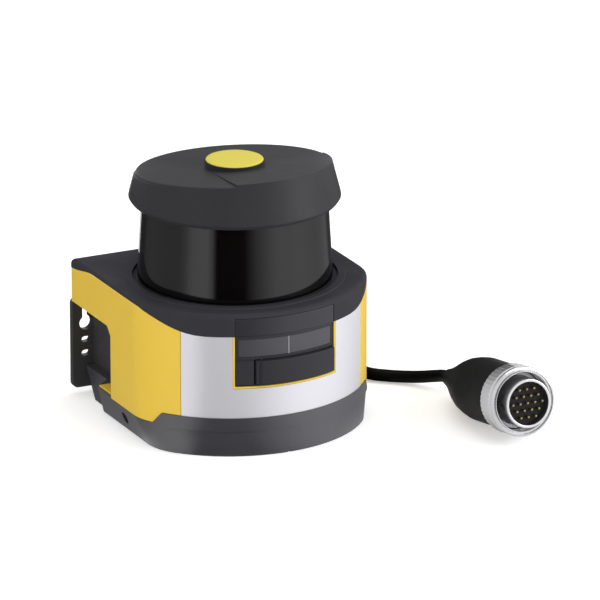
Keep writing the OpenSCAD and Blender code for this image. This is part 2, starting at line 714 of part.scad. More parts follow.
module optics_window() color("#0d0d10") rotate_extrude($fn = 192) polygon([
    [win_r_lo - win_wall, deck_z], [win_r_lo, deck_z], [win_r_hi, win_top],
    [win_r_hi - win_wall - 3, win_top], [win_r_hi - win_wall - 3, win_top - 2.5],
    [win_r_hi - win_wall, win_top - 5.5]]);
head_z = win_top;
head_t = 3;
board_up = 6.4;
laser_r = 5.2;
lens_lip = 1.5;
lens_down = 2.8;
lens_rim = 3.4;
lens_bulge = 3;
module head_plate() color("#5f6167") difference() {
    union() {
        translate([0, 0, head_z]) cylinder(h = head_t, r = win_r_hi - 1.5);
        translate([0, 0, head_z - head_t]) cylinder(h = 2 * head_t, r = lens_r + 2.5);
        for (a = [45:90:315]) rotate(a) translate([lens_r + 0.5, 0, head_z])
            cylinder(h = board_up, r = 2.2, $fn = 32);
    }
    translate([0, 0, head_z - head_t - 1]) cylinder(h = far, r = lens_r - lens_lip);
    translate([0, 0, head_z - head_t - 1]) cylinder(h = head_t + 1 + lens_lip, r = lens_r);
}
module receiver_lens() color("#7c2f38") translate([0, 0, head_z - lens_down]) rotate_extrude() polygon(concat(
    [[laser_r, 0], [lens_r, 0], [lens_r, lens_rim]],
    [for (a = [1:6]) [lens_r - (lens_r - laser_r) * a / 6, lens_rim + lens_bulge * sin(15 * a)]]));
module laser_module() color("#c8b27a") {
    translate([0, 0, head_z - 5]) cylinder(h = board_up + 5, r = laser_r);
    translate([0, 0, head_z - 6]) cylinder(h = 1, r = laser_r - 1.8, $fn = 48);
}
module receiver_board() color("#1f5b36") translate([0, 0, head_z + board_up])
    cylinder(h = board_t, r = lens_r + 6.5);

// -------- cap --------

cap_floor = cap_mid - 8;
disc_t = 2.4;
crease_x = 23;
// frame of the cap's tilted top
module top_frame() translate([0, 0, cap_mid]) rotate([-cap_tilt, 0, 0]) children();
rim_round = 1.4;
rim_r = cap_r + 0.6;
module rounded_top(up) top_frame() translate([0, 0.7, up]) rotate_extrude($fn = 192) polygon(concat(
    [[0, -60], [rim_r + 8, -60], [rim_r + 8, -rim_round - 8], [rim_r, -rim_round]],
    [for (a = [1:5]) [rim_r - rim_round * (1 - cos(18 * a)), -rim_round * (1 - sin(18 * a))]],
    [[0, 0]]));
module cap_cone() rotate_extrude($fn = 192) polygon([[0, win_top - 1.4], [lip_r - 3.4, win_top - 1.4],
    [lip_r - 1.6, win_top - 0.9], [lip_r - 0.4, win_top + 0.6], [lip_r, lip_z],
    [lip_r - 0.2, lip_z + 1.1],
    [cap_r, shoulder_z], [cap_r - (lip_r - cap_r) / cap_h * 12, shoulder_z + 12], [0, shoulder_z + 12]]);
module cap() color("#3f3f42") difference() {
    union() {
        intersection() { cap_cone(); rounded_top(0); }
        // front field, lifted towards the front rim, with a crease at its left
        intersection() {
            cap_cone();
            rounded_top(band_h + 0.2);
            side_prism([[0, cap_mid], [-cap_r, cap_mid + cap_r * tan(cap_tilt) + band_h],
                [-cap_r, 0], [0, 0]], far);
            top_frame() translate([0, 0, -1]) linear_extrude(8)
                polygon([[-disc_r - 0.6, 3], [-crease_x, -60], [cap_r + 10, -60], [cap_r + 10, 3]]);
        }
        // round seat of the yellow disc
        translate([0, 0, cap_floor]) cylinder(h = disc_top - 0.8 - cap_floor, r = disc_r + 0.7);
    }
    translate([0, 0, disc_top - disc_t]) cylinder(h = 10, r = disc_r + 0.1);
    // hollow over the head plate
    cylinder(h = cap_floor, r = cap_r - 5);
    cylinder(h = head_z + 3.2, r = win_r_hi + 0.3);
}
module cap_disc() color("#ecdc55") translate([0, 0, disc_top - disc_t]) rotate_extrude() polygon(concat(
    [[0, 0], [disc_r, 0], [disc_r, disc_t - 0.7]],
    [for (a = [0:6]) [(disc_r - 0.4) * cos(15 * a), disc_t - 0.4 + 0.4 * sin(15 * a)]]));

// -------- cable and plug --------

function unit(v) = v / norm(v);
function heading(i) = unit(route[min(len(route) - 1, i + 1)] - route[max(0, i - 1)]);
function side_of(t) = unit(cross(t, [0, 0, 1]));
cable_sides = 10;
module cable() color("#1b1b1d") {
    n = len(route);
    rings = [for (i = [0:n - 1]) let (t = i == 0 ? [0, 1, 0]
        : i == n - 1 ? [0, -cos(plug_tilt), sin(plug_tilt)] : heading(i), s = side_of(t), u = cross(s, t))
        for (k = [0:cable_sides - 1]) let (a = 360 * k / cable_sides)
            route[i] + cable_d / 2 * (cos(a) * s + sin(a) * u)];
    m = cable_sides;
    polyhedron(rings, concat([[for (k = [0:m - 1]) k]],
        [for (i = [0:n - 2], k = [0:m - 1])
            [i * m + k, (i + 1) * m + k, (i + 1) * m + (k + 1) % m, i * m + (k + 1) % m]],
        [[for (k = [m - 1:-1:0]) (n - 1) * m + k]]), convexity = 8);
}
// frame of the plug, with +Z out of its face
module plug_frame() translate(plug_tip) rotate([90 - plug_tilt, 0, 0]) children();
nut_bore = sleeve_r - 1.6;
nose_out = 6.5;
sleeve_front = -nut_len + 2;
shoulder = -nut_len - 31;
module plug_sleeve() color("#202022") plug_frame() rotate_extrude() polygon([
    [0, sleeve_front], [nut_bore - 0.3, sleeve_front],
    [nut_bore - 0.3, -nut_len - 0.3], [sleeve_r, -nut_len - 0.3], [sleeve_r, shoulder],
    [sleeve_r - 0.8, shoulder - 6], [sleeve_r - 2, shoulder - 12], [sleeve_r - 4, shoulder - 18],
    [sleeve_r - 6.4, shoulder - 24], [sleeve_r - 8.8, shoulder - 30], [sleeve_r - 11, shoulder - 36],
    [cable_d / 2 + 2, -plug_len + 3], [cable_d / 2 + 1.4, -plug_len], [0, -plug_len]]);
module coupling_nut() color("#c9cacd") plug_frame() difference() {
    rotate_extrude() polygon([[nut_bore, -nut_len], [nut_r - 0.6, -nut_len], [nut_r, -nut_len + 0.6],
        [nut_r, -nut_len + 9.6], [nut_r - 0.8, -nut_len + 10.2], [nut_r - 0.8, -nut_len + 11],
        [nut_r, -nut_len + 11.6], [nut_r, -nose_out - 1], [nut_r - 0.5, -nose_out - 0.3],
        [nut_r - 1.3, -nose_out], [nut_r - 2.9, -nose_out], [nut_r - 3.4, -nose_out - 0.5],
        [nut_r - 3.4, -nut_len + 6], [nut_bore, -nut_len + 6]]);
    for (a = [0:12:348]) rotate(a) translate([nut_r + 0.9, 0, -nut_len + 1]) cylinder(h = 8, r = 1.3, $fn = 24);
}
module plug_barrel() color("#d3d4d8") plug_frame() difference() {
    union() {
        translate([0, 0, sleeve_front]) cylinder(h = -sleeve_front, r = barrel_r);
        translate([0, 0, sleeve_front]) cylinder(h = 4, r = nut_bore - 0.4);
    }
    translate([0, 0, sleeve_front + 4]) cylinder(h = 30, r = barrel_r - barrel_w);
}
module contact_insert() color("#1d1d20") plug_frame() difference() {
    translate([0, 0, sleeve_front + 4]) cylinder(h = -sleeve_front - 8, r = barrel_r - barrel_w);
    translate([0, barrel_r - barrel_w, sleeve_front + 10]) cylinder(h = 20, r = 1.3, $fn = 32);
}
// nineteen places in rows of three, four, five, four and three
pin_places = [for (row = [-2:2], k = [0:4 - abs(row)])
    [(k - (4 - abs(row)) / 2) * pin_pitch, row * pin_pitch * sin(60)]];
module contact_pins() color("#d8c48a") plug_frame() for (p = pin_places)
    translate([p[0], p[1], -4]) cylinder(h = 3, r = pin_r, $fn = 24);

connection_unit();
mounting_plate();
plate_screws();
cable_gland();
locking_screws();
housing_gasket();
terminal_board();
base_connector();
unit_connector();
scanner_housing();
front_panel();
top_cover();
indicator_window();
display_bezel();
display_board();
display_glass_left();
display_glass_right();
display_divider();
port_cover();
port_hinge_pin();
usb_socket();
optics_carrier();
carrier_screws();
main_board();
motor_housing();
lower_bearing();
upper_bearing();
motor_shaft();
motor_rotor();
encoder_disc();
encoder_reader();
mirror_carrier();
mirror_glass();
window_seal();
optics_window();
head_plate();
receiver_lens();
laser_module();
receiver_board();
cap();
cap_disc();
cable();
plug_sleeve();
plug_barrel();
coupling_nut();
contact_insert();
contact_pins();
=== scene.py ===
from math import cos, pi, radians, sin

import bmesh
import bpy
from mathutils import Matrix, Vector


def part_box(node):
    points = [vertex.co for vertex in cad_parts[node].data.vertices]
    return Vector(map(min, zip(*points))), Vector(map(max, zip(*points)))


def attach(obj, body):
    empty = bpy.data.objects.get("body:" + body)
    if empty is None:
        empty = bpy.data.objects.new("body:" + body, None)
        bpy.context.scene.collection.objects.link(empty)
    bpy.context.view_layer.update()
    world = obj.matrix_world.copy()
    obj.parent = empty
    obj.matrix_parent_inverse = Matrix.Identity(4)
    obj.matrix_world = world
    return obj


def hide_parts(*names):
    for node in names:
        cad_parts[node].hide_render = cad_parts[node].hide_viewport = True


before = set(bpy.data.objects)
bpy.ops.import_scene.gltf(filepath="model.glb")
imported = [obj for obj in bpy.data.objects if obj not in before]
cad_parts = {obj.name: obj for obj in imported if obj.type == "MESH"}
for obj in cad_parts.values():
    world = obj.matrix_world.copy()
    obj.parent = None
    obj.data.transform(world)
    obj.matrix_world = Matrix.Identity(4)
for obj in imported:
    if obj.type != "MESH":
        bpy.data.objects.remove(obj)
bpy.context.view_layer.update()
MM = 0.001

# -------- camera --------
# A long lens a little over the scanner's left front corner, so that the front,
# the left side and the cap's top all show and upright edges stay upright.
view_turn, view_rise, view_distance = radians(-26), radians(19), 4.0
back = Vector((sin(view_turn) * cos(view_rise), -cos(view_turn) * cos(view_rise), sin(view_rise)))
right = Vector((cos(view_turn), sin(view_turn), 0))
up = back.cross(right)
aim = Vector((0, 0, 75 * MM)) + 35.9 * MM * right - 8.0 * MM * up
camera = bpy.data.objects.new("camera", bpy.data.cameras.new("camera"))
camera.data.lens, camera.data.sensor_width = 434.4, 36
camera.data.clip_start, camera.data.clip_end = 0.05, 20
camera.location = aim + view_distance * back
camera.rotation_mode = "QUATERNION"
camera.rotation_quaternion = (-back).to_track_quat("-Z", "Y")
bpy.context.scene.collection.objects.link(camera)
bpy.context.scene.camera = camera


# -------- studio --------
# A white table in an even white room, with a tall soft lamp at the right front, a narrow
# one at the left front, a square one at the left and a broad one overhead. Felt flags from
# black to white stand round the scanner only for its reflections, as for a catalogue picture.
def linear(hex_colour):
    parts = [int(hex_colour[i:i + 2], 16) / 255 for i in (1, 3, 5)]
    return [c / 12.92 if c <= 0.04045 else ((c + 0.055) / 1.055) ** 2.4 for c in parts] + [1]


def add_node(tree, kind, inputs={}, **settings):
    made = tree.nodes.new("ShaderNode" + kind)
    for name, value in settings.items():
        setattr(made, name, value)
    for name, value in inputs.items():
        if isinstance(value, bpy.types.NodeSocket):
            tree.links.new(value, made.inputs[name])
        else:
            made.inputs[name].default_value = value
    return made


room_light = 0.55
room = bpy.data.worlds.new("white_room")
bpy.context.scene.world = room
room.use_nodes = True
room.node_tree.nodes.clear()
rays = add_node(room.node_tree, "LightPath")
seen = add_node(room.node_tree, "Math", {0: rays.outputs["Is Camera Ray"],
                                         1: rays.outputs["Is Transmission Ray"]}, operation="MAXIMUM")
seen = add_node(room.node_tree, "Math", {0: seen.outputs[0], 1: rays.outputs["Is Glossy Ray"]},
                operation="MAXIMUM")
strength = add_node(room.node_tree, "MapRange", {"Value": seen.outputs[0], "To Min": room_light, "To Max": 1})
sky = add_node(room.node_tree, "Background", {"Color": (1, 1, 1, 1), "Strength": strength.outputs[0]})
add_node(room.node_tree, "OutputWorld", {"Surface": sky.outputs[0]})

# White laminate table: dull, pale, and lifted to pure white where the eye sees it unshaded.
table_top = bpy.data.materials.new("white_laminate_table")
table_top.use_nodes = True
tree = table_top.node_tree
tree.nodes.clear()
rays = add_node(tree, "LightPath")
paint = add_node(tree, "BsdfDiffuse", {"Color": linear("#f4f4f4")})
mirrored = add_node(tree, "Math", {0: rays.outputs["Is Glossy Ray"], 1: 0.12}, operation="MULTIPLY")
lift = add_node(tree, "Math", {0: rays.outputs["Is Camera Ray"], 1: 0.4, 2: mirrored.outputs[0]},
                operation="MULTIPLY_ADD")
glow = add_node(tree, "Emission", {"Color": (1, 1, 1, 1), "Strength": lift.outputs[0]})
both = add_node(tree, "AddShader", {0: paint.outputs[0], 1: glow.outputs[0]})
add_node(tree, "OutputMaterial", {"Surface": both.outputs[0]})
bm = bmesh.new()
bmesh.ops.create_grid(bm, x_segments=1, y_segments=1, size=6)
table_mesh = bpy.data.meshes.new("table")
bm.to_mesh(table_mesh)
bm.free()
table = bpy.data.objects.new("table", table_mesh)
table.location = (0, 0, -0.2 * MM)
table_mesh.materials.append(table_top)
bpy.context.scene.collection.objects.link(table)


def soft_lamp(name, place, width, height, watts):
    lamp = bpy.data.lights.new(name, "AREA")
    lamp.shape, lamp.size, lamp.size_y, lamp.energy = "RECTANGLE", width, height, watts
    holder = bpy.data.objects.new(name, lamp)
    holder.location = place
    holder.rotation_mode = "QUATERNION"
    holder.rotation_quaternion = (Vector((0, 0, 0.08)) - Vector(place)).to_track_quat("-Z", "Y")
    bpy.context.scene.collection.objects.link(holder)


soft_lamp("right_front_lamp", (0.95, -0.75, 0.55), 0.7, 0.9, 10.5)
soft_lamp("left_front_lamp", (-0.55, -1.35, 0.45), 0.25, 0.9, 2.8)
soft_lamp("left_lamp", (-1.4, 0.1, 0.7), 0.7, 0.7, 3.4)
soft_lamp("overhead_lamp", (0.0, 0.15, 1.5), 1.2, 1.0, 5.6)


# The flags' greys, by the angle round the scanner from straight ahead, to the right.
flag_greys = [(-150, 0.05), (-140, 0.14), (-125, 0.24), (-100, 0.32), (-85, 0.36), (-78, 0.5), (-70, 0.9),
              (-60, 1), (-53, 1), (-48, 0.6), (-44, 0), (-16, 0), (-9, 0.2), (-3, 0.4), (4, 0.58), (11, 0.78),
              (18, 0.92), (26, 0.94), (39, 0.86), (50, 0.68), (60, 0.52), (70, 0.42), (85, 0.34), (95, 0.08),
              (130, 0.08), (141, 0.36), (176, 0.3)]
felt = bpy.data.materials.new("graded_felt_flags")
felt.use_nodes = True
tree = felt.node_tree
tree.nodes.clear()
where = add_node(tree, "TexCoord")
round_it = add_node(tree, "Mapping", {"Vector": where.outputs["Object"], "Rotation": (0, 0, pi / 2)})
angle = add_node(tree, "TexGradient", {"Vector": round_it.outputs[0]}, gradient_type="RADIAL")
greys = add_node(tree, "ValToRGB", {"Fac": angle.outputs["Fac"]})
while len(greys.color_ramp.elements) < len(flag_greys):
    greys.color_ramp.elements.new(1)
for stop, (degrees, tone) in zip(greys.color_ramp.elements, flag_greys):
    stop.position, stop.color = degrees / 360 + 0.5, (tone, tone, tone, 1)
shine = add_node(tree, "Emission", {"Color": greys.outputs["Color"], "Strength": 1.05})
clear = add_node(tree, "BsdfTransparent")
side = add_node(tree, "NewGeometry")
one_sided = add_node(tree, "MixShader", {0: side.outputs["Backfacing"], 1: shine.outputs[0],
                                         2: clear.outputs[0]})
add_node(tree, "OutputMaterial", {"Surface": one_sided.outputs[0]})


# A flag is seen in reflections only: it throws no shadow and keeps no light off the scanner.
def stand(name, sheet):
    mesh = bpy.data.meshes.new(name)
    sheet.to_mesh(mesh)
    sheet.free()
    mesh.materials.append(felt)
    board = bpy.data.objects.new(name, mesh)
    board.visible_camera = board.visible_diffuse = board.visible_shadow = board.visible_transmission = False
    bpy.context.scene.collection.objects.link(board)


# Most flags are an arc that lies on the table from under the scanner outwards and then
# stands up as a wall, from one angle round the scanner to another, in degrees and metres.
flag_start, flag_lift = 0.055, 0.0004


def flag(name, first, last, radius, height):
    sheet = bmesh.new()
    outline = [(flag_start, flag_lift), (radius, flag_lift), (radius, height)]
    points = [sheet.verts.new((0, -r, z)) for r, z in outline]
    edges = [sheet.edges.new(pair) for pair in zip(points, points[1:])]
    bmesh.ops.rotate(sheet, verts=points, cent=(0, 0, 0), matrix=Matrix.Rotation(radians(first), 3, "Z"))
    bmesh.ops.spin(sheet, geom=points + edges, cent=(0, 0, 0), axis=(0, 0, 1), angle=radians(last - first),
                   steps=48)
    sheet.normal_update()
    bmesh.ops.reverse_faces(sheet, faces=[face for face in sheet.faces if face.normal.dot(
        Vector((0, 0, 0.03)) - face.calc_center_median()) < 0])
    stand(name, sheet)


flag("front_flag", -118, 39, 0.17, 0.5)
flag("right_flag", 28, 93, 0.098, 0.13)
flag("right_rear_flag", 93, 168, 0.17, 0.13)
flag("left_rear_flag", -168, -118, 0.17, 0.13)
flag("tall_rear_flag", 138, 176, 0.175, 0.3)
# A square card between scanner and plug keeps the yellow out of the plug's nickel.
card, card_half = bmesh.new(), 0.07
bmesh.ops.create_grid(card, x_segments=1, y_segments=1, size=card_half, matrix=Matrix.Translation(
    (0.09, -0.07, card_half + 0.0005)) @ Matrix.Rotation(pi / 2, 4, "Y"))
stand("plug_flag", card)


# -------- connection unit --------
# Die-cast aluminium foot and cable box, powder coated in dark grey. It is cast in one
# piece, its seats are milled, and the scanner unit slides on and is locked from the sides.
def copy_of(node, flat=0.6):
    bm = bmesh.new()
    bm.from_mesh(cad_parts[node].data)
    bmesh.ops.remove_doubles(bm, verts=bm.verts, dist=0.002 * MM)
    bmesh.ops.dissolve_limit(bm, angle_limit=radians(flat), verts=bm.verts, edges=bm.edges)
    return bm


def add_piece(name, bm, body, finish, stands_for, edge=0.0, sharp=32, place=None):
    if place is not None:
        bmesh.ops.transform(bm, matrix=place, verts=bm.verts)
    mesh = bpy.data.meshes.new(name)
    bm.to_mesh(mesh)
    bm.free()
    mesh.materials.append(finish)
    mesh.shade_smooth()
    piece = bpy.data.objects.new(name, mesh)
    bpy.context.scene.collection.objects.link(piece)
    if edge:
        rounding = piece.modifiers.new("rounded_edges", "BEVEL")
        rounding.width, rounding.segments, rounding.profile = edge * MM, 2, 0.5
        rounding.limit_method, rounding.angle_limit = "ANGLE", radians(sharp)
        rounding.miter_outer = "MITER_ARC"
        shading = piece.modifiers.new("even_shading", "WEIGHTED_NORMAL")
        shading.keep_sharp = False
    else:
        mesh.set_sharp_from_angle(angle=radians(sharp))
    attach(piece, body)
    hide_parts(*stands_for)
    return piece


# Coatings and mouldings share one build: a fine relief that breaks up the highlight, slow
# clouds where hands and tools have polished it, and a little drift between two shades.
def skin(name, colour, shade, rough, grain, relief, clouds=28, ior=1.5, gloss=0.5, metal=0.0,
         stretch=(1, 1, 1), coat=0.0):
    finish = bpy.data.materials.new(name)
    finish.use_nodes = True
    tree = finish.node_tree
    tree.nodes.clear()
    where = add_node(tree, "TexCoord")
    turned_to = add_node(tree, "Mapping", {"Vector": where.outputs["Object"], "Scale": stretch})
    pits = add_node(tree, "TexNoise", {"Vector": turned_to.outputs[0], "Scale": 1000 / grain, "Detail": 3,
                                       "Roughness": 0.6})
    drift = add_node(tree, "TexNoise", {"Vector": where.outputs["Object"], "Scale": 1000 / clouds,
                                        "Detail": 4, "Roughness": 0.55})
    tint = add_node(tree, "Mix", {0: drift.outputs["Fac"], 6: linear(colour), 7: linear(shade)},
                    data_type="RGBA")
    polish = add_node(tree, "MapRange", {"Value": drift.outputs["Fac"], "From Min": 0.3, "From Max": 0.7,
                                         "To Min": rough * 0.88, "To Max": rough * 1.12})
    bump = add_node(tree, "Bump", {"Height": pits.outputs["Fac"], "Strength": 1, "Distance": relief * MM})
    body = add_node(tree, "BsdfPrincipled", {"Base Color": tint.outputs[2], "Roughness": polish.outputs[0],
                                             "Normal": bump.outputs[0], "IOR": ior, "Metallic": metal,
                                             "Specular IOR Level": gloss, "Coat Weight": coat,
                                             "Coat Roughness": 0.12})
    add_node(tree, "OutputMaterial", {"Surface": body.outputs[0]})
    return finish


# Textured powder coat on a casting: dark grey, with a soft broken sheen. Its real grain of
# 0.3 mm is drawn at 1.1 mm, so that it shows.
powder_coat = skin("dark_powder_coat_on_casting", "#3e3e44", "#39393f", 0.36, 1.1, 0.02,
                   gloss=0.9, coat=0.2)
add_piece("connection_unit_cast", copy_of("connection_unit"), "scanner", powder_coat,
          ["connection_unit"], edge=0.5)

# -------- mounting plate --------
# Pressed steel plate behind the connection unit, with keyholes and slots in its ears. It
# is e-coated black after pressing and held by four countersunk screws.
e_coat = skin("black_e_coat_on_steel", "#3b3b3c", "#353536", 0.42, 2.2, 0.008, clouds=40)
add_piece("mounting_plate_pressed", copy_of("mounting_plate"), "scanner", e_coat,
          ["mounting_plate"], edge=0.35)


# -------- screws, gland, seals and connectors --------
# Zinc-plated steel screws hold the plate, blackened ones lock the scanner unit, a nylon
# gland grips the cable, and rubber rings keep the seams tight. The connectors inside are
# of the same nylon.
def dress(node, slot_finish):
    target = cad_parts[node]
    target.data.materials.clear()
    target.data.materials.append(slot_finish)


# Zinc plating on rolled steel: pale grey metal with a faint bluish cast and dull patches.
zinc = skin("zinc_plating_on_steel", "#b9bcc1", "#a4a8af", 0.34, 0.8, 0.006, clouds=6, metal=1.0)
# Black oxide on steel: nearly black, oily sheen.
black_oxide = skin("black_oxide_on_steel", "#2c2c2e", "#242426", 0.38, 0.8, 0.006, clouds=6)
# Moulded glass-filled nylon: black, matt, with short flow streaks.
nylon = skin("moulded_black_nylon", "#242426", "#1d1d1f", 0.55, 0.9, 0.012, stretch=(1, 1, 3))
# Moulded EPDM rubber: black, dull and slightly dusty.
rubber_seal = skin("moulded_seal_rubber", "#1c1c1d", "#242425", 0.72, 1.0, 0.02)
dress("plate_screws", zinc)
dress("carrier_screws", zinc)
dress("port_hinge_pin", zinc)
dress("locking_screws", black_oxide)
dress("cable_gland", nylon)
dress("housing_gasket", rubber_seal)
dress("window_seal", rubber_seal)
dress("base_connector", nylon)
dress("unit_connector", nylon)
dress("encoder_reader", nylon)

# -------- cable --------
# Round control cable, 7 mm thick, in a black polyurethane jacket. It leaves the gland at
# the foot's rear, runs along the floor and enters the plug's strain relief.
cable_route = [(-18, 68, 9), (-18, 78, 8.6), (-16, 90, 7), (-9, 102, 5), (3, 112, 4), (18, 119, 3.8),
               (34, 122, 3.8), (50, 120, 3.8), (64, 113, 3.8), (76, 102, 3.8), (84, 88, 3.8), (87, 72, 3.8),
               (88, 54, 3.8), (88, 36, 3.8), (89, 24, 3.8), (92.5, 15.5, 3.8), (98.5, 9.5, 3.8),
               (105.5, 4, 3.9), (112.5, -4, 5.2), (117, -13, 7.8), (119.3, -20.5, 10), (119.7, -27.48, 11.28)]
cable_d = 7
line = bpy.data.curves.new("cable_jacket", "CURVE")
line.dimensions = "3D"
line.bevel_depth, line.bevel_resolution, line.resolution_u = cable_d / 2 * MM, 5, 6
line.use_fill_caps = True
spline = line.splines.new("BEZIER")
spline.bezier_points.add(len(cable_route) - 1)
for point, place in zip(spline.bezier_points, cable_route):
    point.co = MM * Vector(place)
    point.handle_left_type = point.handle_right_type = "AUTO"
cable = bpy.data.objects.new("cable_jacket", line)
bpy.context.scene.collection.objects.link(cable)
# Extruded polyurethane: black, satin, with the fine waver that the core gives the jacket.
line.materials.append(skin("extruded_polyurethane_jacket", "#060607", "#040404", 0.45, 2.4, 0.02, clouds=18,
                           gloss=0.06))
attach(cable, "scanner")
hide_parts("cable")

# -------- plug --------
# Round nineteen-pole signal plug. A moulded rubber sleeve tapers to the cable; the barrel
# and the coupling nut are turned brass with bright nickel, and the nut turns on the sleeve.
plug_tip, plug_lift = Vector((119.7, -122.3, 26.3)) * MM, radians(9)
plug_place = Matrix.Translation(plug_tip) @ Matrix.Rotation(pi / 2 - plug_lift, 4, "X")
plug_len, nut_len, nose_out = 96, 21, 6.5
sleeve_r, nut_r, barrel_r, barrel_w = 18, 19.5, 13.6, 1.5
nut_bore = sleeve_r - 1.6


def turned(outline, steps=128):
    bm = bmesh.new()
    points = [bm.verts.new((r * MM, 0, z * MM)) for r, z in outline]
    edges = [bm.edges.new(pair) for pair in zip(points, points[1:])]
    bmesh.ops.spin(bm, geom=points + edges, cent=(0, 0, 0), axis=(0, 0, 1), angle=2 * pi, steps=steps,
                   use_merge=True)
    bmesh.ops.remove_doubles(bm, verts=bm.verts, dist=0.001 * MM)
    bmesh.ops.recalc_face_normals(bm, faces=bm.faces)
    return bm


shoulder = -nut_len - 31
sleeve_outline = [(0, 2 - nut_len), (nut_bore - 0.3, 2 - nut_len), (nut_bore - 0.3, -nut_len - 0.3),
                  (sleeve_r, -nut_len - 0.3), (sleeve_r, shoulder), (sleeve_r - 0.8, shoulder - 6),
                  (sleeve_r - 2, shoulder - 12), (sleeve_r - 4, shoulder - 18),
                  (sleeve_r - 6.4, shoulder - 24), (sleeve_r - 8.8, shoulder - 30),
                  (sleeve_r - 11, shoulder - 36),
                  (cable_d / 2 + 2, 3 - plug_len), (cable_d / 2 + 1.4, -plug_len), (0, -plug_len)]
# Moulded thermoplastic rubber: black and dull, with a soft grain and paler scuffed patches.
plug_rubber = skin("moulded_plug_rubber", "#151515", "#111111", 0.55, 1.4, 0.03, clouds=14, gloss=0.1)
sleeve = add_piece("plug_sleeve_moulded", turned(sleeve_outline), "scanner", plug_rubber,
                   ["plug_sleeve"], edge=0.5, sharp=50, place=plug_place)


# Bright nickel on turned brass: a mirror-like metal whose highlight is drawn out by the
# fine rings of the lathe. The real ones, about 0.1 mm apart, are drawn 1.2 mm apart so that
# they show. Behind the rim the colour turns to a given grey; on the barrel that grey is darker, as painted
# shade in the gap.
# unit_pitch is the step between the bands of a wave texture whose scale is 1.
ring_pitch, unit_pitch = 1.2 * MM, 2 * pi / 20


def nickel_plate(name, rough, colour_and_painted_shade_behind_rim="#cacacc"):
    finish = bpy.data.materials.new(name)
    finish.use_nodes = True
    tree = finish.node_tree
    tree.nodes.clear()
    where = add_node(tree, "TexCoord")
    along = add_node(tree, "Mapping", {"Vector": where.outputs["Object"], "Location": plug_tip,
                                       "Rotation": (pi / 2 - plug_lift, 0, 0)}, vector_type="TEXTURE")
    rings = add_node(tree, "TexWave", {"Vector": along.outputs[0], "Scale": unit_pitch / ring_pitch,
                                       "Distortion": 1.5}, wave_type="BANDS", bands_direction="Z")
    smears = add_node(tree, "TexNoise", {"Vector": where.outputs["Object"], "Scale": 1000 / 7, "Detail": 4})
    tint = add_node(tree, "Mix", {0: smears.outputs["Fac"], 6: linear("#d6d6d7"), 7: linear("#bfbfc1")},
                    data_type="RGBA")
    depth = add_node(tree, "SeparateXYZ", {"Vector": along.outputs[0]})
    behind = add_node(tree, "MapRange", {"Value": depth.outputs["Z"], "From Min": -1.4 * MM,
                                         "From Max": -0.6 * MM, "To Min": 1, "To Max": 0})
    # behind the rim the nickel takes the given grey; on the barrel this is painted shade in the gap under the
    # nut
    tint = add_node(tree, "Mix", {0: behind.outputs[0], 6: tint.outputs[2], 7: linear(colour_and_painted_shade_behind_rim)},
                    data_type="RGBA")
    polish = add_node(tree, "MapRange", {"Value": smears.outputs["Fac"], "From Min": 0.3, "From Max": 0.7,
                                         "To Min": rough * 0.8, "To Max": rough * 1.3})
    bump = add_node(tree, "Bump", {"Height": rings.outputs["Fac"], "Strength": 0.5, "Distance": 0.004 * MM})
    body = add_node(tree, "BsdfPrincipled", {"Base Color": tint.outputs[2], "Metallic": 1,
                                             "Roughness": polish.outputs[0], "Normal": bump.outputs[0]})
    add_node(tree, "OutputMaterial", {"Surface": body.outputs[0]})
    return finish


bright_nickel = nickel_plate("bright_nickel_on_turned_brass", 0.25)
flange_foot, flange_face, barrel_in = 2 - nut_len, 6 - nut_len, barrel_r - barrel_w
barrel_outline = [(0, flange_face), (0, flange_foot), (nut_bore - 0.4, flange_foot),
                  (nut_bore - 0.4, flange_face), (barrel_r, flange_face), (barrel_r, 0), (barrel_in, 0),
                  (barrel_in, flange_face), (0, flange_face)]
# the barrel's nickel behind its rim is painted dark grey, as shade in the gap under the nut
barrel = add_piece("plug_barrel_turned", turned(barrel_outline), "scanner",
                   nickel_plate("nickel_with_painted_gap_shade_on_plug_barrel", 0.3, "#9c9c9d"), ["plug_barrel"], edge=0.35,
                   place=plug_place)
nut_front = -nose_out
nut_outline = [(nut_bore, -nut_len), (nut_r - 0.6, -nut_len), (nut_r, 0.6 - nut_len), (nut_r, 9.6 - nut_len),
               (nut_r - 0.8, 10.2 - nut_len), (nut_r - 0.8, 11 - nut_len), (nut_r, 11.6 - nut_len),
               (nut_r, nut_front - 1), (nut_r - 0.5, nut_front - 0.3), (nut_r - 1.3, nut_front),
               (nut_r - 1.5, nut_front - 1.2), (nut_r - 2.2, nut_front - 1.2), (nut_r - 2.4, nut_front),
               (nut_r - 2.9, nut_front), (nut_r - 3.4, nut_front - 0.5), (nut_r - 3.4, flange_face),
               (nut_bore, flange_face), (nut_bore, -nut_len)]
nut_steps, flute_depth = 144, 0.22
nut_mesh = turned(nut_outline, nut_steps)
# every third row of points is drawn in, and makes one of the flutes of the nut's rear part
for v in nut_mesh.verts:
    column = round(Vector((v.co.x, v.co.y)).angle_signed(Vector((1, 0))) / (2 * pi / nut_steps)) % 3
    if column == 0 and v.co.xy.length > (nut_r - 0.1) * MM and v.co.z < (10 - nut_len) * MM:
        v.co.xy *= 1 - flute_depth / nut_r
nut = add_piece("coupling_nut_turned", nut_mesh, "nut", bright_nickel, ["coupling_nut"],
                place=plug_place, sharp=28)

